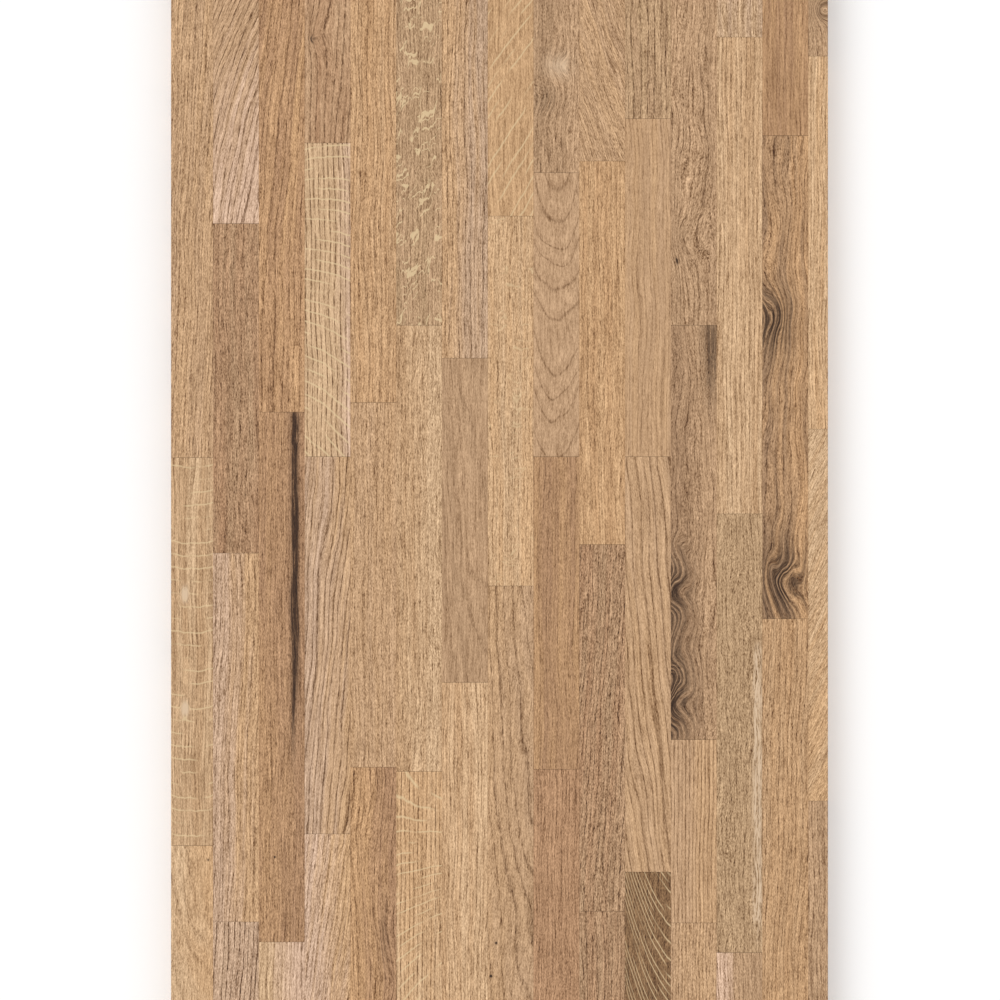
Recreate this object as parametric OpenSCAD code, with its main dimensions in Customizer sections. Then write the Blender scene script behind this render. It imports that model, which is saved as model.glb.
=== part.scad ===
// Solid oak stave worktop, 2 m by 620 mm by 38 mm.
// Short staves are finger-jointed end to end into rows and the rows are glued edge to edge.
// The panel is then ripped to depth, cut to length and eased along its arrises.
// X runs along the worktop, Y from its front edge to its back edge, Z up from its underside.

/* [Board] */
// Length of the finished worktop, along the grain
board_length = 2000; // [1000:50:4000]
// Depth of the finished worktop, front edge to back edge
board_depth = 620; // [400:5:960]
// Thickness of the finished worktop
board_thickness = 38; // [26:1:45]
// Radius of the rounded long arrises, top and bottom
arris_radius = 1; // [0.5:0.5:6]
// Bevel sanded on the arrises of the two sawn ends
end_bevel = 0.6; // [0.2:0.1:2]

/* [Staves] */
// Width of one planed stave
stave_width = 43; // [30:0.5:60]
// Thickness of the glue line between two staves
glue_line = 0.2; // [0.1:0.05:0.4]
// Width ripped off the front row when the panel is trimmed
front_trim = 3.4; // [0:0.2:12]
// Narrowest row allowed at the back edge: a thinner one is widened by trimming more off the front
narrowest_row = 16; // [8:1:24]
// Shortest piece of a stave left at a sawn end
shortest_end = 60; // [20:5:120]

/* [Finger joints] */
// Length of the fingers, along the grain
finger_length = 10; // [6:0.5:15]
// Target spacing of the fingers through the thickness
finger_pitch = 4; // [3:0.1:6]
// Width of the flat at the tip of a finger
finger_tip = 0.6; // [0.3:0.1:1]
// Plain shoulder above the top finger and below the bottom one
finger_shoulder = 3; // [2:0.5:5]

/* [Hidden] */
// Length of panel after which the pattern of end joints starts again
layup_repeat = 2000;
// Where the end joints of each row fall, from the left end, front row first
row_joints = [
    [118, 505, 960, 1326, 1668],
    [95, 352, 739, 1050, 1398, 1790],
    [125, 470, 917, 1417, 1765],
    [285, 663, 959, 1315, 1590, 1900],
    [130, 430, 908, 1252, 1610, 1880],
    [142, 442, 835, 1256, 1700],
    [100, 390, 866, 1172, 1545, 1835],
    [310, 732, 1081, 1500, 1870],
    [250, 691, 959, 1254, 1580, 1890],
    [95, 345, 680, 1042, 1388, 1745],
    [215, 640, 959, 1351, 1760],
    [105, 400, 835, 1226, 1399, 1775],
    [165, 563, 1013, 1427, 1800],
    [240, 656, 1112, 1590, 1910],
    [190, 581, 933, 1284, 1600, 1895],
];
// Oak tones, from sapwood straw to heartwood brown, dealt out to the staves in turn
oak_tones = ["#c9a477", "#bd9466", "#c4a07a", "#b58a60", "#cfad80", "#a98158"];
// Places to move along that list from one stave to the next, and from one row to the next
tone_step_along = 5;
tone_step_across = 2;

row_pitch = stave_width + glue_line;
row_count = ceil((board_depth + front_trim + glue_line) / row_pitch);
back_row_width = board_depth + front_trim - (row_count - 1) * row_pitch;
trimmed_off_front = front_trim + max(0, narrowest_row - back_row_width);
finger_count = max(1, round((board_thickness - 2 * finger_shoulder) / finger_pitch));
finger_step = (board_thickness - 2 * finger_shoulder) / finger_count;
// How far the rough rows stand past each end of the board before they are sawn off
rough_margin = 20;

// Row numbers below this have a leading zero in their names
first_two_digit_row = 10;

// End joints of row r that lie on the board, clear of its sawn ends
function joints_on_board(r) =
    let (pattern = row_joints[r % len(row_joints)])
    [for (lap = [0 : ceil(board_length / layup_repeat)], x = pattern)
        let (at = x + lap * layup_repeat)
        if (at > shortest_end && at < board_length - shortest_end) at];

// Outline of one side of an end joint, from the underside up: the fingers point along +X
function finger_line(x) = concat(
    [[x, 0]],
    [for (k = [0 : finger_count - 1])
        let (root = finger_shoulder + k * finger_step, crest = root + finger_step / 2)
        each [
            [x, root + finger_tip / 2],
            [x + finger_length, crest - finger_tip / 2],
            [x + finger_length, crest + finger_tip / 2],
            [x, root + finger_step - finger_tip / 2]
        ]],
    [[x, board_thickness]]
);

// Straight end of a stave that runs out past the sawn end of the board
function sawn_line(x) = [[x, 0], [x, board_thickness]];

function reversed(points) = [for (i = [len(points) - 1 : -1 : 0]) points[i]];

// Outline of a stave seen from the front: fingers on its right end, matching slots on its left
module stave_outline(left, right, left_jointed, right_jointed) {
    left_side = left_jointed ? finger_line(left + glue_line) : sawn_line(left);
    right_side = right_jointed ? finger_line(right) : sawn_line(right);
    polygon(concat(reversed(left_side), right_side));
}

// One stave before the panel is trimmed
module rough_stave(left, right, left_jointed, right_jointed) {
    translate([0, stave_width, 0])
        rotate([90, 0, 0])
            linear_extrude(stave_width)
                stave_outline(left, right, left_jointed, right_jointed);
}

// Rectangle with its four corners rounded by true arcs
module rounded_section(width, height, radius) {
    translate([radius, 0]) square([width - 2 * radius, height]);
    translate([0, radius]) square([width, height - 2 * radius]);
    for (x = [radius, width - radius], y = [radius, height - radius])
        translate([x, y]) circle(radius, $fn = 64);
}

// Side view of the board: square ends with a light sanding bevel
module end_section() {
    polygon([
        [0, end_bevel], [end_bevel, 0],
        [board_length - end_bevel, 0], [board_length, end_bevel],
        [board_length, board_thickness - end_bevel], [board_length - end_bevel, board_thickness],
        [end_bevel, board_thickness], [0, board_thickness - end_bevel]
    ]);
}

// The finished outside of the worktop, which every stave is trimmed to
module finished_board() {
    intersection() {
        rotate([90, 0, 90])
            linear_extrude(board_length)
                rounded_section(board_depth, board_thickness, arris_radius);
        translate([0, board_depth, 0])
            rotate([90, 0, 0])
                linear_extrude(board_depth)
                    end_section();
    }
}

// Row r of staves, front row 0, with a glue line between each stave and the next
module stave_row(r) {
    joints = joints_on_board(r);
    ends = concat([-rough_margin], joints, [board_length + rough_margin]);
    last = len(ends) - 2;
    translate([-board_length / 2, -board_depth / 2, 0])
        for (i = [0 : last])
            color(oak_tones[(i * tone_step_along + r * tone_step_across) % len(oak_tones)])
                intersection() {
                    finished_board();
                    translate([0, r * row_pitch - trimmed_off_front, 0])
                        rough_stave(ends[i], ends[i + 1], i > 0, i < last);
                }
}

for (r = [0 : row_count - 1])
    stave_row(r);
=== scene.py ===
# Oak stave worktop, dressed stave by stave and seen square from above.
import math
import random

import bmesh
import bpy
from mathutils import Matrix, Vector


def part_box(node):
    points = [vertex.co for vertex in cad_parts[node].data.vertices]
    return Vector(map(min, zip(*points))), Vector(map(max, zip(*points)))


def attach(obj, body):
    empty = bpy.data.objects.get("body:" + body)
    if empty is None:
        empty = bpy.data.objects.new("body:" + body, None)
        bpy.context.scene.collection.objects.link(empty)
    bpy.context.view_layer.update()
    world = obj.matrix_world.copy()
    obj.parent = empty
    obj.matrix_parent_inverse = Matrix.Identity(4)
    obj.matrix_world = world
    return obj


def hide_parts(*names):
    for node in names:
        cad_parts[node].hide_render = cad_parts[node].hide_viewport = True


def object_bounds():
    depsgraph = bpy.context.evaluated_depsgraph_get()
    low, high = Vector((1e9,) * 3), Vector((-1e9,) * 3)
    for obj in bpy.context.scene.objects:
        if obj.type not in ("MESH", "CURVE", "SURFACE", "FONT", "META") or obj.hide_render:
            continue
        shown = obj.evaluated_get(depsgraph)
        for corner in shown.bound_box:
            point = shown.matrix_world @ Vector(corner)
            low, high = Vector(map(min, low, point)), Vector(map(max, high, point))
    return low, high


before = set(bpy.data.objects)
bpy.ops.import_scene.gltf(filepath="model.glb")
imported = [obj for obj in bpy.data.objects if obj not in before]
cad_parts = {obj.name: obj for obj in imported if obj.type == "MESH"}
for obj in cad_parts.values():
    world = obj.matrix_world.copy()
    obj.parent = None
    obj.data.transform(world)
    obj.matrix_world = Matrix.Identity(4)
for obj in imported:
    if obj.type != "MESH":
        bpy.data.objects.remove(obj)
cadLow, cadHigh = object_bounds()
mm = 0.001

# How the photograph sees the board: its size in pixels, the board's two edges, and the board's depth
photo = {"size": 1000, "leftEdge": 171.0, "rightEdge": 828.0, "middleRow": 500.0}
boardDepth = cadHigh.y - cadLow.y
pixel = boardDepth / (photo["rightEdge"] - photo["leftEdge"])
photoMiddle = (photo["leftEdge"] + photo["rightEdge"]) / 2


def onBoard(px, py):
    # A place in the photograph, in mm on the board: along it, and across it from front to back
    along = (py - photo["middleRow"]) * pixel / mm
    across = (px - photoMiddle) * pixel / mm
    return along, across


# Oak tones, as seen under plain white light
tones = {
    "straw": "#cfab84",
    "honey": "#cba277",
    "golden": "#c29b73",
    "tan": "#bc9773",
    "rose": "#cfac90",
    "greyRose": "#c2a083",
    "taupe": "#b9987a",
    "olive": "#b6946f",
    "amber": "#be946a",
    "umber": "#ad8a68",
    "chestnut": "#a9815f",
    "smoke": "#967557",
    "walnut": "#907053",
    "peat": "#97714c",
    "cream": "#dcbf9f",
    "fleck": "#e4c89c",
}


def paint(name):
    # Hex sRGB to linear
    text = tones[name]
    channels = [int(text[i:i + 2], 16) / 255 for i in (1, 3, 5)]
    linear = [c / 12.92 if c <= 0.04045 else ((c + 0.055) / 1.055) ** 2.4 for c in channels]
    return (*linear, 1.0)


# What a stave looks like unless it says otherwise. Lengths are in mm.
plainStave = {
    "tone": "tan", "second": "golden", "light": 1.0,
    "share": 0.5, "turn": 0.0, "fall": 0.0, "band": 0.6,   # second tone: all over, to a side or end, in bands
    "off": 150.0, "deep": 60.0, "ring": 4.0,     # pith, across from the middle and below the face
    "lean": 0.0, "rise": 0.0, "wave": 1.0, "bend": 0.0,
    "pores": 0.55, "lined": 1.4, "speck": 1.0, "streak": 1.0,
    "lineWide": 0.36, "uneven": 2.2,             # share of a growth ring that its pore line fills; uneven widths
    "rays": 0.0, "rayAngle": 0.0, "rayLength": 24.0, "rayWidth": 12.0, "rayCut": 0.5,
    # Fine rays, thin pale curves over the face: slope is down per right, swing its change per 100 mm down
    "fine": 0.0, "fineDark": 0.0, "slope": 0.0, "curve": 0.0, "swing": 0.0, "spacing": 8.0,
    "ripple": (0.0, 20.0),                       # waves of the fibres where a knot darkens them: height, length
    "stain": (0.0, 5.0, 0.0), "stainSpan": (-2000, 2000, 1),   # heart streak: across, width, strength
    "knots": [],      # each: (px, py, size, stretch, push, around, dark)
}

# The staves that the photograph shows, row by row from its left, each row from its top
shownStaves = {
    "stave_row_front": [
        {"tone": "tan", "second": "golden", "lean": -0.05, "ring": 3.8, "off": 160, "deep": 30},
        {"tone": "golden", "second": "straw", "off": 280, "deep": 8, "ring": 3.2, "pores": 0.4, "speck": 0.7, "light": 0.95,
         "fine": 1.0, "spacing": 12, "curve": -0.006,
         "knots": [(185, 594, 2.6, 2.4, 0, 0, -2.2), (185, 709, 2.6, 2.4, 0, 0, -2.2)]},
        {"tone": "honey", "second": "straw", "turn": -1.0, "off": 20, "deep": 70, "rise": 0.12, "ring": 5,
         "pores": 0.4, "speck": 0.7, "lined": 0.9, "light": 0.98, "knots": [(208, 860, 1.1, 1.0, 0, 0, 3.0)]},
    ],
    "stave_row_02": [
        {"tone": "tan", "second": "rose", "share": -0.25, "fall": 0.76, "turn": 0.5, "lean": -0.42, "bend": 0.8,
         "ring": 4.6, "off": 120, "deep": 60, "pores": 0.95, "lined": 1.6, "speck": 0.8, "light": 1.02},
        {"tone": "umber", "second": "chestnut", "off": 100, "deep": 120, "lined": 0.8, "speck": 1.2, "light": 1.02},
        {"tone": "greyRose", "second": "golden", "turn": 1.2, "lean": -0.03, "off": 180, "pores": 0.65, "light": 1.03},
        {"tone": "greyRose", "second": "taupe", "lean": -0.06, "pores": 1.2, "lined": 2.2, "speck": 1.1, "ring": 4.6,
         "off": 200, "light": 1.02},
    ],
    "stave_row_03": [
        {"tone": "chestnut", "second": "amber", "lean": -0.07, "bend": 0.2, "off": 120, "deep": 90, "ring": 5.0,
         "lined": 1.6, "light": 1.04},
        {"tone": "amber", "second": "chestnut", "share": 0.7, "turn": 0.5, "band": 0.3, "off": 300, "deep": 20,
         "ring": 3.4, "lined": 1.0, "light": 0.99, "stain": (12.2, 3.5, 1.35), "stainSpan": (-90, 285, 170),
         "knots": [(275, 857, 1.0, 1.0, 0, 0, 3.0)]},
        {"tone": "straw", "second": "rose", "turn": 1.6, "band": 0.3, "speck": 0.85, "light": 0.98},
    ],
    "stave_row_04": [
        {"tone": "chestnut", "second": "tan", "off": 60, "deep": 40, "rise": -0.1, "ring": 6, "pores": 0.8,
         "lined": 1.7, "speck": 0.7, "light": 1.04, "wave": 0.6,
         "knots": [(313, 39, 3.0, 1.0, 5, 0, 1.3), (318, 34, 11, 1.8, 6, 0, 0.0)]},
        {"tone": "straw", "second": "rose", "share": -0.3, "turn": 1.9, "band": 0.2, "off": 300, "deep": 5, "ring": 4.5,
         "uneven": 0.7, "wave": 0.9, "lean": 0.015, "pores": 1.0, "lined": 2.2, "speck": 0.6, "light": 0.97, "fine": 1.2,
         "spacing": 10, "slope": 0.35,
         "swing": 0.3, "curve": 0.004},
        {"tone": "greyRose", "second": "golden", "turn": 0.8, "lean": -0.09, "pores": 0.7, "lined": 2.3, "off": 110,
         "ring": 4.6, "wave": 1.3, "speck": 0.75, "streak": 1.1, "light": 0.99},
        {"tone": "rose", "second": "honey", "turn": 0.8, "lean": -0.14, "pores": 0.65, "light": 0.945},
    ],
    "stave_row_05": [
        {"tone": "golden", "second": "amber", "off": 280, "deep": 20, "pores": 0.45, "lined": 1.5, "light": 1.03, "ring": 4.6},
        {"tone": "golden", "second": "tan", "off": 200, "lined": 1.1, "streak": 0.8, "light": 1.02},
        {"tone": "amber", "second": "chestnut", "turn": 1.0, "wave": 2.0, "light": 1.02,
         "knots": [(385, 935, 5, 6.0, 3, 0, 0.4)]},
    ],
    "stave_row_06": [
        {"tone": "olive", "second": "tan", "off": 300, "deep": 0, "ring": 3.2, "wave": 2.2, "rays": 2.2,
         "rayAngle": 0.9, "rayLength": 40, "rayWidth": 7.5, "rayCut": 0.475, "light": 0.97},
        {"tone": "golden", "second": "straw", "turn": 1.0, "lined": 0.5, "light": 0.97},
        {"tone": "honey", "second": "straw", "off": 300, "deep": 5, "ring": 3.9, "uneven": 0.7, "wave": 0.4, "pores": 0.75,
         "lined": 1.9, "speck": 0.8, "fall": 0.3, "fine": 1.1, "spacing": 10, "slope": -1.3, "swing": -0.8, "light": 0.98},
    ],
    "stave_row_07": [
        {"tone": "golden", "second": "taupe", "turn": 1.1, "pores": 0.7, "lined": 1.5, "ring": 4.2, "light": 1.03},
        {"tone": "tan", "second": "umber", "speck": 0.6, "pores": 0.3, "off": 20, "deep": 60, "rise": 0.04,
         "lined": 0.9, "light": 1.02},
        {"tone": "golden", "second": "straw", "turn": 0.8, "ring": 3.2, "speck": 0.85, "light": 1.04},
    ],
    "stave_row_08": [
        {"tone": "honey", "second": "honey", "fine": 1.0, "spacing": 8, "slope": -1.2, "swing": -0.15,
         "pores": 0.35, "speck": 0.6, "lined": 0.6, "light": 0.97},
        {"tone": "straw", "second": "honey", "rays": 0.6, "rayLength": 60, "rayWidth": 12, "rayCut": 0.56,
         "ring": 3.3, "lined": 1.1, "fine": 0.3, "spacing": 16, "streak": 0.7, "speck": 0.9, "light": 0.99},
        {"tone": "golden", "second": "tan", "turn": 0.8, "off": 40, "deep": 70, "rise": 0.08, "ring": 5, "lean": -0.05,
         "lined": 1.5, "speck": 0.85, "light": 0.965,
         "knots": [(496, 943, 1.1, 1.0, 0, 0, 3.0), (491, 976, 1.1, 1.0, 0, 0, 3.0)]},
    ],
    "stave_row_09": [
        {"tone": "umber", "second": "tan", "turn": 1.0, "wave": 2.0, "lined": 1.0, "light": 1.01,
         "knots": [(559, 66, 13, 0.9, 5, 0, -0.45), (547, 100, 13, 1.1, -6, 0, 0.3)]},
        {"tone": "tan", "second": "tan", "off": 0, "deep": 50, "rise": 0.17, "ring": 4.6, "wave": 0.9,
         "lineWide": 0.2, "pores": 0.3, "lined": 1.9, "speck": 0.5, "light": 1.0},
        {"tone": "amber", "second": "chestnut", "speck": 0.8, "pores": 0.5, "streak": 0.7, "lined": 1.1, "light": 0.97},
        {"tone": "chestnut", "second": "chestnut", "light": 1.08},
    ],
    "stave_row_10": [
        {"tone": "tan", "second": "golden", "lean": 0.35, "lined": 1.0, "off": 180, "light": 0.98},
        {"tone": "honey", "second": "amber", "turn": 0.2, "band": 1.0, "lined": 0.9, "pores": 0.5, "speck": 0.85},
        {"tone": "umber", "second": "chestnut", "lean": -0.06, "pores": 0.75, "speck": 1.4, "light": 1.01},
        {"tone": "umber", "second": "chestnut", "pores": 0.65, "speck": 1.2, "lined": 1.7},
    ],
    "stave_row_11": [
        {"tone": "umber", "second": "olive", "pores": 0.8, "lined": 1.5, "ring": 5.5, "light": 1.03},
        {"tone": "tan", "second": "golden", "turn": -0.3, "speck": 0.5, "pores": 0.35, "wave": 1.5,
         "streak": 0.6, "light": 1.02},
        {"tone": "golden", "second": "tan", "lean": 0.1, "bend": 0.12, "pores": 0.4, "lined": 2.2, "ring": 5.8,
         "speck": 0.7, "off": 90, "light": 0.98},
        {"tone": "peat", "second": "peat", "pores": 0.5, "speck": 1.3, "light": 0.745, "lined": 0.8,
         "fine": 1.15, "spacing": 3.2, "slope": 2.3, "curve": -0.03},
    ],
    "stave_row_12": [
        {"tone": "tan", "second": "umber", "fall": 0.25, "wave": 2.5, "light": 1.06,
         "knots": [(677, 261, 1.8, 1.6, 0, 0, 1.4), (682, 240, 11, 1.8, 8, 0, 0.1)]},
        {"tone": "smoke", "second": "umber", "turn": 1.0, "wave": 2.5, "light": 1.15, "lined": 1.2,
         "stain": (17, 9, 0.7), "stainSpan": (-175, -60, 90), "ripple": (11, 50), "ring": 6,
         "knots": [(671, 592, 18, 2.2, 0, 0, 0.8), (671, 694, 19, 2.3, 0, 0, 1.05)]},
        {"tone": "tan", "second": "golden", "turn": 1.6, "ring": 3.3, "uneven": 0.7, "pores": 0.65, "lined": 2.4, "speck": 0.65,
         "wave": 0.5, "light": 1.03},
        {"tone": "tan", "second": "golden", "turn": 0.6, "ring": 2.9, "uneven": 0.8, "pores": 0.65, "lined": 1.6},
    ],
    "stave_row_13": [
        {"tone": "straw", "second": "taupe", "ring": 5, "lined": 1.0, "pores": 0.4},
        {"tone": "straw", "second": "golden", "turn": 0.3, "ring": 3.9, "uneven": 0.8, "pores": 0.55, "lined": 1.5, "speck": 0.8,
         "wave": 0.6, "light": 1.01},
        {"tone": "olive", "second": "olive", "wave": 2.0, "speck": 1.1, "pores": 0.45, "lined": 1.0,
         "stain": (17.0, 3.2, -0.8), "stainSpan": (130, 430, 60), "light": 0.98},
        {"tone": "rose", "second": "umber", "share": 1.3, "turn": 3.2, "band": 0.3, "light": 1.07},
    ],
    "stave_row_14": [
        {"tone": "chestnut", "second": "amber", "speck": 0.6, "pores": 0.4, "lined": 1.2, "streak": 0.9, "light": 1.0},
        {"tone": "smoke", "second": "amber", "turn": 0.5, "wave": 2.5, "light": 1.06, "lined": 1.5,
         "ring": 5, "ripple": (5, 60),
         "knots": [(769, 322, 23, 1.4, -17, 0, 0.95), (783, 580, 24, 1.7, 12, 0, 0.9)]},
        {"tone": "golden", "second": "amber", "off": 120, "deep": 80, "lined": 1.4, "lean": -0.04, "light": 0.96},
    ],
    "stave_row_back": [
        {"tone": "umber", "second": "tan", "streak": 0.6, "knots": [(822, 10, 9, 1.2, 18, 0, 0.35)]},
        {"tone": "straw", "second": "honey", "turn": 0.4, "pores": 0.5, "lined": 1.5, "ring": 2.9, "uneven": 0.7, "speck": 0.8,
         "light": 1.01},
        {"tone": "straw", "second": "honey", "fall": 0.3, "lean": -0.5, "fine": 0.2, "slope": -1.5, "spacing": 5,
         "lined": 0.6, "pores": 0.3, "light": 0.96},
        {"tone": "umber", "second": "tan", "pores": 0.65, "lined": 1.4},
    ],
}

# Kinds of stave for the lengths of the board that the photograph leaves out
otherStaves = [
    {"tone": "tan", "second": "golden", "lined": 1.2},
    {"tone": "umber", "second": "tan", "pores": 0.9},
    {"tone": "straw", "second": "honey", "off": 300, "deep": 5, "ring": 4.6, "wave": 0.4, "pores": 0.75,
     "lined": 1.5, "fine": 0.5, "spacing": 11, "slope": 0.3, "light": 0.97},
    {"tone": "golden", "second": "amber", "off": 200, "lined": 1.3},
    {"tone": "greyRose", "second": "taupe", "turn": 0.8, "lean": -0.05, "pores": 0.8},
    {"tone": "tan", "second": "golden", "off": 5, "deep": 60, "rise": 0.08, "ring": 5, "lined": 1.2, "speck": 0.6,
     "lineWide": 0.25, "pores": 0.35},
    {"tone": "chestnut", "second": "tan", "turn": -0.8},
    {"tone": "honey", "second": "golden", "fine": 0.5, "spacing": 9, "slope": -1.0, "pores": 0.4},
]


class Wiring:
    # Makes nodes in one tree, so that a formula reads as lines of code
    def __init__(self, tree):
        self.tree = tree

    def node(self, kind, inputs=None, **settings):
        made = self.tree.nodes.new(kind)
        for name, value in settings.items():
            setattr(made, name, value)
        for key, value in (inputs or {}).items():
            if isinstance(value, bpy.types.NodeSocket):
                self.tree.links.new(value, made.inputs[key])
            else:
                made.inputs[key].default_value = value
        return made

    def math(self, operation, *values):
        return self.node("ShaderNodeMath", dict(enumerate(values)), operation=operation).outputs[0]

    def add(self, a, b):
        return self.math("ADD", a, b)

    def sub(self, a, b):
        return self.math("SUBTRACT", a, b)

    def mul(self, a, b):
        return self.math("MULTIPLY", a, b)

    def mulAdd(self, a, b, c):
        return self.math("MULTIPLY_ADD", a, b, c)

    def smooth(self, value, start, end, low=0.0, high=1.0, kind="SMOOTHSTEP"):
        inputs = {0: value, 1: start, 2: end, 3: low, 4: high}
        return self.node("ShaderNodeMapRange", inputs, interpolation_type=kind).outputs[0]

    def vector(self, x, y, z):
        return self.node("ShaderNodeCombineXYZ", {0: x, 1: y, 2: z}).outputs[0]

    def parts(self, vector):
        return self.node("ShaderNodeSeparateXYZ", {0: vector}).outputs[:3]

    def noise(self, vector, detail=2.0, roughness=0.5, colour=False):
        inputs = {"Vector": vector, "Scale": 1.0, "Detail": detail, "Roughness": roughness}
        made = self.node("ShaderNodeTexNoise", inputs, noise_dimensions="3D")
        return made.outputs[1 if colour else 0]

    def mix(self, share, a, b, blend="MIX"):
        inputs = {0: share, 6: a, 7: b}
        return self.node("ShaderNodeMix", inputs, data_type="RGBA", blend_type=blend).outputs[2]

    def attribute(self, name):
        return self.node("ShaderNodeAttribute", attribute_name=name)


# The staves' joints and arrises, as the solids have them
build = {
    "seam": 0.03 * mm,                  # what is left of the glue line at the surface
    "fingerLength": 10 * mm, "fingerPitch": 4 * mm, "fingerTip": 0.6 * mm, "shoulder": 3 * mm,
    "arris": 1 * mm, "arrisSteps": 4, "endBevel": 0.6 * mm,
}


def fingerCut():
    # Number of fingers in an end joint, and the height that each takes up
    room = cadHigh.z - 2 * build["shoulder"]
    count = round(room / build["fingerPitch"])
    return count, room / count


# How strongly each trait of the wood shows
oakFinish = {
    "dashLength": 8.5, "dashWidth": 0.7, "poreTint": (0.4, 0.32, 0.26, 1.0),
    "stainTint": (0.12, 0.09, 0.07, 1.0), "glueTint": (0.55, 0.42, 0.32, 1.0), "glueShare": 0.24,
    "faceGlue": 0.2, "fingerGlue": 2.2,  # how much of the glue line shows at stave ends, on the face and below it
    "flankSlope": 0.14,                 # thickness of a finger's glue line for its length along the board
    "rayShare": 0.8, "rayThick": 0.032, "fineShare": 0.7, "fineWidth": 2.4,
    "fibreForce": 1.8, "speckForce": 2.2, "streakForce": 1.55, "broadForce": 0.35,
    "lineForce": 0.09, "haloForce": 0.04, "lightTint": (0.86, 1.0, 1.16),
    "roughness": 0.46, "poreDepth": 0.00006,
}


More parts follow.
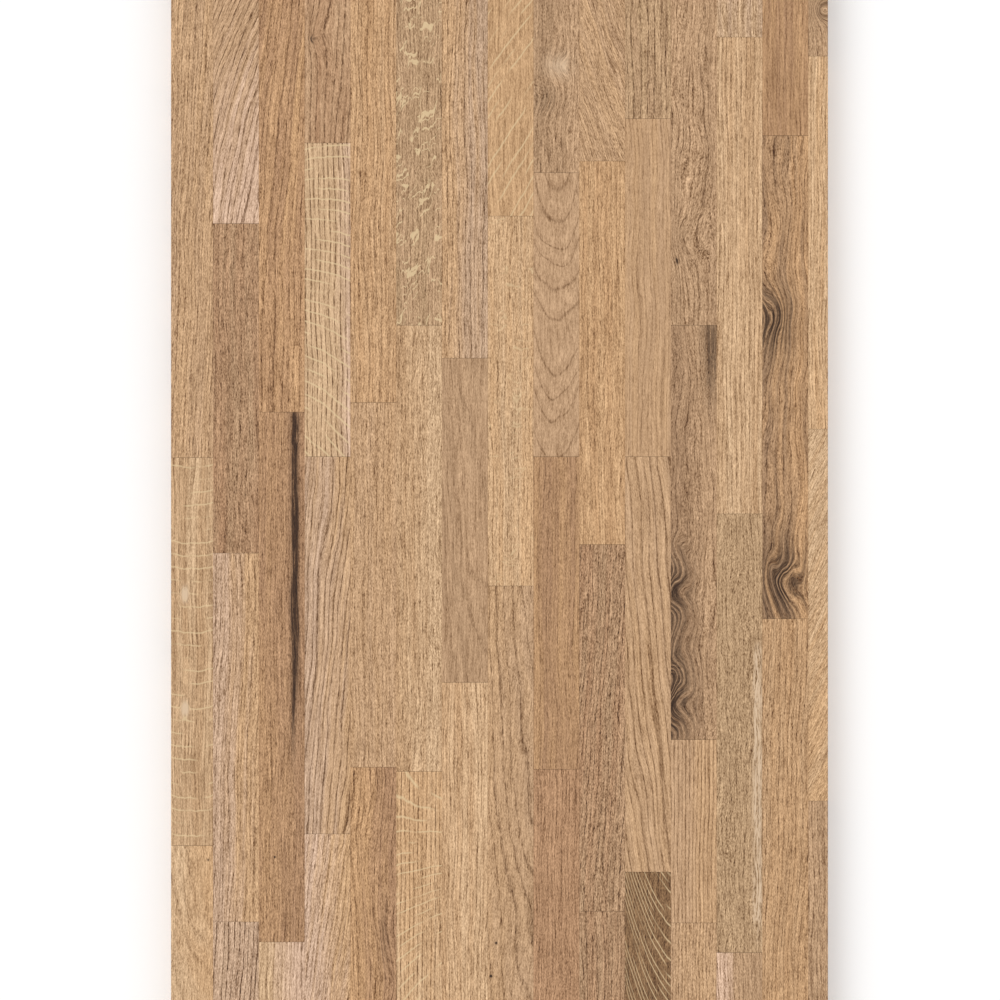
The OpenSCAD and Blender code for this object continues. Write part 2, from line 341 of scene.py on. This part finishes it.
def oiledOak():
    material = bpy.data.materials.new("oiledOak")
    material.use_nodes = True
    tree = material.node_tree
    shader = tree.nodes["Principled BSDF"]
    w = Wiring(tree)

    # Where the point lies in its stave: along, across and below the top face, in mm
    place = w.node("ShaderNodeTexCoord").outputs["Object"]
    placeMm = w.node("ShaderNodeVectorMath", {0: place, 3: 1000.0}, operation="SCALE").outputs[0]
    x, y, z = w.parts(placeMm)
    middleX, middleY, seed = w.parts(w.attribute("staveMiddle").outputs["Vector"])
    halfLong, halfWide, bend = w.parts(w.attribute("staveHalf").outputs["Vector"])
    along = w.sub(x, middleX)
    across = w.sub(y, middleY)
    below = w.sub(z, cadHigh.z / mm)

    # Fibres wander a little from straight
    off, deep, ring = w.parts(w.attribute("stavePith").outputs["Vector"])
    lean, rise, wave = w.parts(w.attribute("staveRun").outputs["Vector"])
    seedFar = w.mul(seed, 37.0)
    wanderAt = w.vector(w.mulAdd(along, 1 / 120, seedFar), w.mul(across, 1 / 40), w.mul(below, 1 / 40))
    wanderX, wanderY, group = w.parts(w.noise(wanderAt, 2.0, 0.45, colour=True))
    sway = w.mul(w.sub(wanderX, 0.5), w.mul(wave, 12.0))
    heave = w.mul(w.sub(wanderY, 0.5), w.mul(wave, 12.0))
    curve = w.mul(w.mul(along, along), w.mul(bend, 0.001))
    drift = w.add(w.mul(lean, along), curve)

    # Knots push the fibres aside, or part them
    push = 0.0
    dark = 0.0
    for name in ("knotOne", "knotTwo"):
        knotX, knotY, size = w.parts(w.attribute(name).outputs["Vector"])
        stretch, force, around = w.parts(w.attribute(name + "Force").outputs["Vector"])
        stain = w.parts(w.attribute(name + "Dark").outputs["Vector"])[0]
        dx = w.math("DIVIDE", w.sub(x, knotX), w.mul(size, stretch))
        dy = w.math("DIVIDE", w.sub(y, knotY), size)
        squared = w.add(w.mul(dx, dx), w.mul(dy, dy))
        bell = w.math("EXPONENT", w.mul(squared, -1.0))
        push = w.mulAdd(bell, w.mulAdd(around, dy, force), push)
        dark = w.mulAdd(bell, stain, dark)
    darkened = w.math("MAXIMUM", dark, 0.0)
    smeared = w.math("MAXIMUM", w.mul(dark, -1.0), 0.0)
    rippleHigh, rippleLong, lineWide = w.parts(w.attribute("staveRipple").outputs["Vector"])
    rayWidth, rayCut, unevenBy = w.parts(w.attribute("staveRayShape").outputs["Vector"])
    swell = w.math("SINE", w.mulAdd(wanderX, 12.0, w.math("DIVIDE", w.mul(along, 2 * math.pi), rippleLong)))
    push = w.mulAdd(w.mul(swell, darkened), rippleHigh, push)

    fibreY = w.add(w.sub(w.sub(across, off), drift), w.add(sway, push))
    fibreZ = w.add(w.add(below, deep), w.add(heave, w.mul(rise, along)))
    squared = w.add(w.mul(fibreY, fibreY), w.mul(fibreZ, fibreZ))
    radius = w.math("SQRT", squared)

    # Growth rings of uneven width. The line is the early wood, where the large pores are
    ringsOut = w.math("DIVIDE", radius, ring)
    uneven = w.noise(w.vector(w.mul(ringsOut, 0.45), seedFar, w.mul(along, 1 / 400)), 1.0)
    inRing = w.math("FRACT", w.mulAdd(uneven, unevenBy, ringsOut))
    fromLine = w.math("ABSOLUTE", w.mulAdd(inRing, 2.0, -1.0))
    line = w.smooth(fromLine, 0.0, lineWide, 1.0, 0.0)
    halo = w.smooth(fromLine, 0.45, 0.9)

    # Pores: short dashes along the fibre, crowded on the line
    pores, speck, streak = w.parts(w.attribute("staveGrain").outputs["Vector"])
    lined, lift, fall = w.parts(w.attribute("staveLines").outputs["Vector"])
    dashWidth = oakFinish["dashWidth"]
    dashAt = w.vector(
        w.mulAdd(along, 1 / oakFinish["dashLength"], seedFar),
        w.mul(fibreY, 1 / dashWidth),
        w.mul(fibreZ, 1 / dashWidth),
    )
    dashes = w.sub(w.noise(dashAt, 2.0, 0.6), 0.5)
    crowd = w.mul(w.sub(line, 0.3), w.mul(lined, 0.12))
    poreMask = w.smooth(w.add(dashes, crowd), 0.05, 0.2)
    poreMask = w.mul(poreMask, pores)
    poreMask.node.use_clamp = True

    # Fibre streaks and speckle
    streakAt = w.vector(w.mulAdd(along, 1 / 50, seedFar), w.mul(fibreY, 1 / 1.7), w.mul(fibreZ, 1 / 1.7))
    streaks = w.sub(w.noise(streakAt, 2.0, 0.65), 0.5)
    speckAt = w.vector(w.mulAdd(along, 1 / 2.2, seedFar), w.mul(fibreY, 1 / 0.6), w.mul(fibreZ, 1 / 0.6))
    specks = w.sub(w.noise(speckAt, 1.0, 0.5), 0.5)
    broadAt = w.vector(w.mulAdd(along, 1 / 130, seedFar), w.mul(fibreY, 1 / 9), w.mul(fibreZ, 1 / 9))
    broad = w.sub(w.noise(broadAt, 2.0, 0.5), 0.5)

    # Rays: pale flecks across the fibre where the stave is cut near the quarter
    rays, rayAngle, rayLength = w.parts(w.attribute("staveRays").outputs["Vector"])
    cosAngle = w.math("COSINE", rayAngle)
    sinAngle = w.math("SINE", rayAngle)
    swayed = w.add(across, w.mul(broad, 12.0))
    alongRay = w.sub(w.mul(swayed, cosAngle), w.mul(along, sinAngle))
    acrossRay = w.add(w.mul(along, cosAngle), w.mul(swayed, sinAngle))
    rayAt = w.vector(
        w.add(w.math("DIVIDE", w.mulAdd(broad, 14.0, acrossRay), rayWidth), seedFar),
        w.math("DIVIDE", alongRay, rayLength),
        w.mul(below, 1 / 1.2),
    )
    # Each fleck is a piece of the curled line where the noise crosses its middle
    fromCurl = w.math("ABSOLUTE", w.sub(w.noise(rayAt, 1.0, 0.4), 0.5))
    curl = w.smooth(fromCurl, 0.0, oakFinish["rayThick"], 1.0, 0.0)
    seenAt = w.vector(w.mulAdd(along, 1 / 24, seedFar), w.mul(across, 1 / 16), w.mul(below, 1 / 6))
    seen = w.mulAdd(w.sub(group, 0.5), 0.25, w.noise(seenAt, 1.0, 0.4))
    rayMask = w.mul(w.mul(curl, w.smooth(w.sub(seen, rayCut), 0.0, 0.06)), rays)
    rayMask.node.use_clamp = True

    # Fine rays: the same thin curve over and over, a few mm apart, that comes and goes
    fine, fineDark, spacing = w.parts(w.attribute("staveFine").outputs["Vector"])
    slope, curve2, swing = w.parts(w.attribute("staveFineRun").outputs["Vector"])
    steep = w.mulAdd(w.mul(along, 0.01), swing, slope)
    drop = w.mul(across, w.mulAdd(across, curve2, steep))
    apart = w.mul(spacing, w.math("SQRT", w.mulAdd(steep, steep, 1.0)))
    fineRun = w.add(w.sub(along, drop), w.add(w.mul(smeared, 8.0), w.mul(broad, 4.5)))
    finePlace = w.math("DIVIDE", fineRun, apart)
    fromFine = w.math("ABSOLUTE", w.mulAdd(w.math("FRACT", finePlace), 2.0, -1.0))
    fineWidth = w.math("MINIMUM", w.mul(spacing, 0.4), oakFinish["fineWidth"])
    fineLine = w.smooth(w.mul(fromFine, spacing), 0.0, fineWidth, 1.0, 0.0)
    fineAt = w.vector(w.mulAdd(finePlace, 0.7, seedFar), w.mul(across, 1 / 30), w.mul(below, 1 / 2))
    # Where they are strong, and at a flame, there are more of them
    fineOften = w.mulAdd(smeared, 0.2, w.mul(fine, 0.15))
    fineSeen = w.smooth(w.add(fineOften, w.noise(fineAt, 1.0)), 0.58, 0.7)
    fineMask = w.mul(w.mul(fineLine, fineSeen), w.mulAdd(darkened, fineDark, fine))
    fineMask.node.use_clamp = True

    # Two tones, by growth band, from side to side and from end to end
    turn, band, share = w.parts(w.attribute("staveBlend").outputs["Vector"])
    bandAt = w.vector(w.mul(radius, 1 / 5.5), seedFar, w.mul(along, 1 / 300))
    bandNoise = w.sub(w.noise(bandAt, 2.0), 0.5)
    sideways = w.math("DIVIDE", across, halfWide)
    blend = w.add(w.mul(w.mul(bandNoise, band), 3.5), w.mul(w.mul(sideways, turn), 0.6))
    blend = w.add(blend, w.mul(w.mul(along, 0.01), fall))
    blend = w.math("ADD", w.add(blend, w.mul(broad, 1.2)), share)
    blend.node.use_clamp = True
    tone = w.mix(blend, w.attribute("toneOne").outputs["Color"], w.attribute("toneTwo").outputs["Color"])

    light = w.mulAdd(w.mul(streaks, streak), oakFinish["streakForce"], 1.0)
    light = w.mulAdd(w.mul(w.add(dashes, w.mul(crowd, 0.5)), speck), -oakFinish["fibreForce"], light)
    light = w.mulAdd(w.mul(specks, speck), oakFinish["speckForce"], light)
    light = w.mulAdd(broad, oakFinish["broadForce"], light)
    light = w.mulAdd(w.mul(halo, lined), oakFinish["haloForce"], light)
    light = w.mulAdd(w.mul(line, lined), -oakFinish["lineForce"], light)
    # Light fibres are paler than the tone and dark ones redder
    shade = {0: w.sub(light, 1.0), 1: oakFinish["lightTint"], 2: (1, 1, 1)}
    tint = w.node("ShaderNodeVectorMath", shade, operation="MULTIPLY_ADD").outputs[0]
    tint = w.node("ShaderNodeVectorMath", {0: tint, 3: lift}, operation="SCALE").outputs[0]
    shaded = w.node("ShaderNodeVectorMath", {0: tone, 1: tint}, operation="MULTIPLY").outputs[0]

    colour = w.mix(poreMask, shaded, oakFinish["poreTint"], "MULTIPLY")
    colour = w.mix(w.mul(rayMask, oakFinish["rayShare"]), colour, paint("fleck"))

    # Heart streak: dark where its strength is above zero, sapwood where it is below
    stainAt, stainWidth, stainForce = w.parts(w.attribute("staveStain").outputs["Vector"])
    stainFrom, stainTo, stainFade = w.parts(w.attribute("staveStainSpan").outputs["Vector"])
    fromStreak = w.math("DIVIDE", w.add(w.sub(across, stainAt), w.mul(broad, 9.0)), stainWidth)
    streakBell = w.math("EXPONENT", w.mul(w.mul(fromStreak, fromStreak), -1.0))
    fadeOut = w.smooth(w.math("DIVIDE", w.sub(stainTo, x), stainFade), 0.0, 1.0)
    fadeIn = w.smooth(w.sub(x, stainFrom), 0.0, 12.0)
    streakBell = w.mul(streakBell, w.mul(fadeIn, fadeOut))
    darkKnot = w.mul(darkened, w.mulAdd(halo, -0.75, 1.0))
    darken = w.add(w.mul(w.math("MAXIMUM", stainForce, 0.0), streakBell), darkKnot)
    darken = w.mul(darken, w.mulAdd(streaks, 3.5, 1.0))
    darken.node.use_clamp = True
    colour = w.mix(darken, colour, oakFinish["stainTint"], "MULTIPLY")
    pale = w.mul(w.math("MAXIMUM", w.mul(stainForce, -1.0), 0.0), streakBell)
    pale = w.mul(pale, w.add(w.mulAdd(streaks, 8.0, 1.0), w.mul(dashes, -6.0)))
    pale = w.add(pale, w.mul(smeared, w.mulAdd(streaks, 3.0, 1.0)))
    pale.node.use_clamp = True
    colour = w.mix(pale, colour, paint("cream"))
    colour = w.mix(w.mul(fineMask, oakFinish["fineShare"]), colour, paint("fleck"))

    # Glue line at the edges of the stave, fainter at its ends, which run in and out as fingers below the face
    finger = {name: build[name] / mm for name in ("shoulder", "fingerLength", "fingerTip")}
    halfStep = fingerCut()[1] / mm / 2
    halfThick = cadHigh.z / mm / 2
    fromRoot = w.math("PINGPONG", w.sub(z, finger["shoulder"]), halfStep)
    flank = (finger["fingerTip"] / 2, halfStep - finger["fingerTip"] / 2)
    fingerX = w.smooth(fromRoot, *flank, 0.0, finger["fingerLength"], "LINEAR")
    fromCore = w.math("ABSOLUTE", w.sub(z, halfThick))
    inFingers = w.math("LESS_THAN", fromCore, halfThick - finger["shoulder"])
    fromEnd = w.sub(w.math("ABSOLUTE", w.sub(along, w.mul(fingerX, inFingers))), halfLong)
    fromEnd = w.mul(fromEnd, w.mulAdd(inFingers, oakFinish["flankSlope"] - 1.0, 1.0))
    sawn = w.math("LESS_THAN", w.math("ABSOLUTE", x), cadHigh.x / mm - finger["fingerLength"])
    edgeSide = w.smooth(w.sub(w.math("ABSOLUTE", across), halfWide), -0.5, -0.05)
    edgeEnd = w.mul(w.smooth(fromEnd, -0.5, -0.05), w.mulAdd(inFingers, oakFinish["fingerGlue"], oakFinish["faceGlue"]))
    edge = w.math("MAXIMUM", edgeSide, w.mul(edgeEnd, sawn))
    colour = w.mix(w.mul(edge, oakFinish["glueShare"]), colour, oakFinish["glueTint"], "MULTIPLY")

    roughness = w.add(w.mulAdd(poreMask, 0.25, oakFinish["roughness"]), w.mul(streaks, 0.12))
    height = w.add(w.mul(poreMask, -1.0), w.mul(streaks, 0.25))
    bump = w.node("ShaderNodeBump", {"Height": height, "Distance": oakFinish["poreDepth"], "Strength": 1.0})
    tree.links.new(colour, shader.inputs["Base Color"])
    tree.links.new(roughness, shader.inputs["Roughness"])
    tree.links.new(bump.outputs[0], shader.inputs["Normal"])
    shader.inputs["Specular IOR Level"].default_value = 0.25
    return material


print("stage: oak finish")
oak = oiledOak()

def staveSpans(node):
    # The left and right end of each stave, read off the top face of its row: a glue line is two near x values
    level = cadHigh.z - 1e-5
    levels = sorted({round(v.co.x, 5) for v in node.data.vertices if v.co.z > level})
    inside = [x for x in levels if cadLow.x + 0.02 < x < cadHigh.x - 0.02]
    seams = [(a, b) for a, b in zip(inside, inside[1:]) if b - a < 0.0005]
    starts = [cadLow.x] + [b for a, b in seams]
    stops = [a for a, b in seams] + [cadHigh.x]
    return list(zip(starts, stops))


def fingerLine(x):
    # One side of an end joint, from the underside up, as (x, z)
    count, step = fingerCut()
    tip = build["fingerTip"] / 2
    points = [(x, 0.0)]
    for k in range(count):
        root = build["shoulder"] + k * step
        crest = root + step / 2
        points += [(x, root + tip), (x + build["fingerLength"], crest - tip)]
        points += [(x + build["fingerLength"], crest + tip), (x, root + step - tip)]
    return points + [(x, cadHigh.z)]


def sawnLine(x):
    return [(x, 0.0), (x, cadHigh.z)]


def traits(look, seed):
    # The numbers that the finish reads from a stave
    full = {**plainStave, **look}
    values = {
        "stavePith": (full["off"], full["deep"], full["ring"]),
        "staveRun": (full["lean"], full["rise"], full["wave"]),
        "staveGrain": (full["pores"], full["speck"], full["streak"]),
        "staveLines": (full["lined"], full["light"], full["fall"]),
        "staveRays": (full["rays"], full["rayAngle"], full["rayLength"]),
        "staveRayShape": (full["rayWidth"], full["rayCut"], full["uneven"]),
        "staveFine": (full["fine"], full["fineDark"], full["spacing"]),
        "staveFineRun": (full["slope"], full["curve"], full["swing"]),
        "staveRipple": (*full["ripple"], full["lineWide"]),
        "staveBlend": (full["turn"], full["band"], full["share"]),
        "staveStain": full["stain"],
        "staveStainSpan": full["stainSpan"],
        "toneOne": paint(full["tone"]),
        "toneTwo": paint(full["second"]),
    }
    for name, index in (("knotOne", 0), ("knotTwo", 1)):
        values[name] = (0.0, 0.0, 1.0)
        values[name + "Force"] = (1.0, 0.0, 0.0)
        values[name + "Dark"] = (0.0, 0.0, 0.0)
        if index < len(full["knots"]):
            px, py, size, stretch, push, around, dark = full["knots"][index]
            knotX, knotY = onBoard(px, py)
            values[name] = (knotX, knotY, size)
            values[name + "Force"] = (stretch, push, around)
            values[name + "Dark"] = (dark, 0.0, 0.0)
    return values


def layersFor(mesh, value):
    # Colours and plain vectors are kept in different kinds of layer
    return mesh.verts.layers.float_color if len(value) == 4 else mesh.verts.layers.float_vector


def newRowMesh():
    mesh = bmesh.new()
    blank = {**traits({}, 0.0), "staveMiddle": (0, 0, 0), "staveHalf": (0, 0, 0)}
    for name, value in blank.items():
        layersFor(mesh, value).new(name)
    return mesh


def addStave(mesh, left, right, low, high, look, seed):
    # One stave: its side outline, extruded from front to back, with its traits on every vertex
    atLeftEnd = left < cadLow.x + 0.01
    atRightEnd = right > cadHigh.x - 0.01
    leftSide = sawnLine(cadLow.x) if atLeftEnd else fingerLine(left + build["seam"] / 2)
    rightSide = sawnLine(cadHigh.x) if atRightEnd else fingerLine(right - build["seam"] / 2)
    before = set(mesh.verts)
    outline = rightSide + leftSide[::-1]
    corners = [mesh.verts.new((px, low.y, pz)) for px, pz in outline]
    face = mesh.faces.new(corners)
    grown = bmesh.ops.extrude_face_region(mesh, geom=[face])
    moved = [v for v in grown["geom"] if isinstance(v, bmesh.types.BMVert)]
    bmesh.ops.translate(mesh, verts=moved, vec=(0, high.y - low.y, 0))
    new = [v for v in mesh.verts if v not in before]
    middle = ((left + right) / 2, (low.y + high.y) / 2)
    values = traits(look, seed)
    values["staveMiddle"] = (middle[0] / mm, middle[1] / mm, seed)
    bend = {**plainStave, **look}["bend"]
    values["staveHalf"] = ((right - left) / 2 / mm, (high.y - low.y) / 2 / mm, bend)
    for name, value in values.items():
        layer = layersFor(mesh, value)[name]
        for v in new:
            v[layer] = value


def easeArrises(mesh, low, high):
    # Rounds the board's long arrises and bevels its sawn ends
    def along(edge, axis, at):
        return all(abs(v.co[axis] - at) < 1e-6 for v in edge.verts)

    outerY = [at for at in (cadLow.y, cadHigh.y) if abs(at - low.y) < 1e-5 or abs(at - high.y) < 1e-5]
    for at in outerY:
        edges = [e for e in mesh.edges if along(e, 1, at) and (along(e, 2, 0.0) or along(e, 2, cadHigh.z))]
        bmesh.ops.bevel(mesh, geom=edges, offset=build["arris"], offset_type="OFFSET", affect="EDGES",
                        segments=build["arrisSteps"], profile=0.5, material=-1, clamp_overlap=False)
    for at in (cadLow.x, cadHigh.x):
        edges = [e for e in mesh.edges if along(e, 0, at) and (along(e, 2, 0.0) or along(e, 2, cadHigh.z))]
        bmesh.ops.bevel(mesh, geom=edges, offset=build["endBevel"], offset_type="OFFSET", affect="EDGES",
                        segments=1, profile=0.5, material=-1, clamp_overlap=False)


def buildRow(nodeName, rng):
    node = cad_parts[nodeName]
    low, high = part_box(nodeName)
    gap = 0.1 * mm - build["seam"] / 2
    low.y = max(cadLow.y, low.y - gap)
    high.y = min(cadHigh.y, high.y + gap)
    halfPhoto = photo["size"] * pixel / 2
    looks = iter(shownStaves.get(nodeName, []))
    mesh = newRowMesh()
    spans = staveSpans(node)
    for left, right in spans:
        shown = right > -halfPhoto and left < halfPhoto
        look = next(looks, None) if shown else None
        if look is None:
            look = rng.choice(otherStaves)
        addStave(mesh, left, right, low, high, look, rng.uniform(1, 60))
    easeArrises(mesh, low, high)
    bmesh.ops.recalc_face_normals(mesh, faces=mesh.faces)
    data = bpy.data.meshes.new(nodeName.replace("stave_row", "oak_row"))
    mesh.to_mesh(data)
    mesh.free()
    row = bpy.data.objects.new(data.name, data)
    bpy.context.scene.collection.objects.link(row)
    data.materials.append(oak)
    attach(row, "root")
    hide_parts(nodeName)
    return len(spans)


print("stage: staves")
rng = random.Random(7)
staveCount = sum(buildRow(name, rng) for name in sorted(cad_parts))
print("staves made:", staveCount)


# Floor, light and camera
studio = {"floorSize": 60.0, "floorColour": (0.93, 0.93, 0.93, 1.0), "floorLift": 0.15, "worldStrength": 0.8,
          "lampStrength": 0.7, "lampTilt": 35.0, "lampSpread": 40.0, "lens": 200.0, "restGap": 0.8 * mm}


def makeFloor():
    mesh = bmesh.new()
    bmesh.ops.create_grid(mesh, x_segments=1, y_segments=1, size=studio["floorSize"])
    data = bpy.data.meshes.new("floor")
    mesh.to_mesh(data)
    mesh.free()
    floor = bpy.data.objects.new("floor", data)
    bpy.context.scene.collection.objects.link(floor)
    paper = bpy.data.materials.new("paleFloor")
    paper.use_nodes = True
    shader = paper.node_tree.nodes["Principled BSDF"]
    shader.inputs["Base Color"].default_value = studio["floorColour"]
    shader.inputs["Roughness"].default_value = 0.9
    shader.inputs["Specular IOR Level"].default_value = 0.0
    shader.inputs["Emission Color"].default_value = (1, 1, 1, 1)
    w = Wiring(paper.node_tree)
    path = w.node("ShaderNodeLightPath")
    glow = w.mul(path.outputs["Is Camera Ray"], studio["floorLift"])
    paper.node_tree.links.new(glow, shader.inputs["Emission Strength"])
    # The floor hides nothing from below, and lets the underside that rests on it be lit and seen from there
    near = w.math("LESS_THAN", path.outputs["Ray Length"], studio["restGap"])
    fromBelow = w.node("ShaderNodeNewGeometry").outputs["Backfacing"]
    clear = w.math("MAXIMUM", near, fromBelow)
    output = paper.node_tree.nodes["Material Output"]
    glass = w.node("ShaderNodeBsdfTransparent")
    both = w.node("ShaderNodeMixShader", {0: clear, 1: shader.outputs[0], 2: glass.outputs[0]})
    paper.node_tree.links.new(both.outputs[0], output.inputs["Surface"])
    floor.location.z = -studio["restGap"] / 4
    data.materials.append(paper)


def makeLight():
    world = bpy.data.worlds.new("softRoom")
    world.use_nodes = True
    background = world.node_tree.nodes["Background"]
    background.inputs["Color"].default_value = (1, 1, 1, 1)
    w = Wiring(world.node_tree)
    seen = w.node("ShaderNodeLightPath").outputs["Is Camera Ray"]
    strength = w.mulAdd(seen, 1.0 - studio["worldStrength"], studio["worldStrength"])
    world.node_tree.links.new(strength, background.inputs["Strength"])
    bpy.context.scene.world = world
    lamp = bpy.data.lights.new("softLamp", "SUN")
    lamp.energy = studio["lampStrength"]
    lamp.angle = math.radians(studio["lampSpread"])
    holder = bpy.data.objects.new("softLamp", lamp)
    holder.rotation_euler = (math.radians(studio["lampTilt"]), 0, math.radians(30))
    bpy.context.scene.collection.objects.link(holder)


def makeCamera():
    lens = bpy.data.cameras.new("camera")
    lens.lens = studio["lens"]
    lens.sensor_width = 36.0
    camera = bpy.data.objects.new("camera", lens)
    away = photo["size"] * pixel * lens.lens / lens.sensor_width
    sideStep = (photo["size"] / 2 - photoMiddle) * pixel
    camera.location = (0, sideStep, cadHigh.z + away)
    camera.rotation_euler = (0, 0, math.radians(90))
    lens.clip_end = 200
    bpy.context.scene.collection.objects.link(camera)
    bpy.context.scene.camera = camera


print("stage: studio")
makeFloor()
makeLight()
makeCamera()
bpy.context.scene.view_settings.view_transform = "Standard"
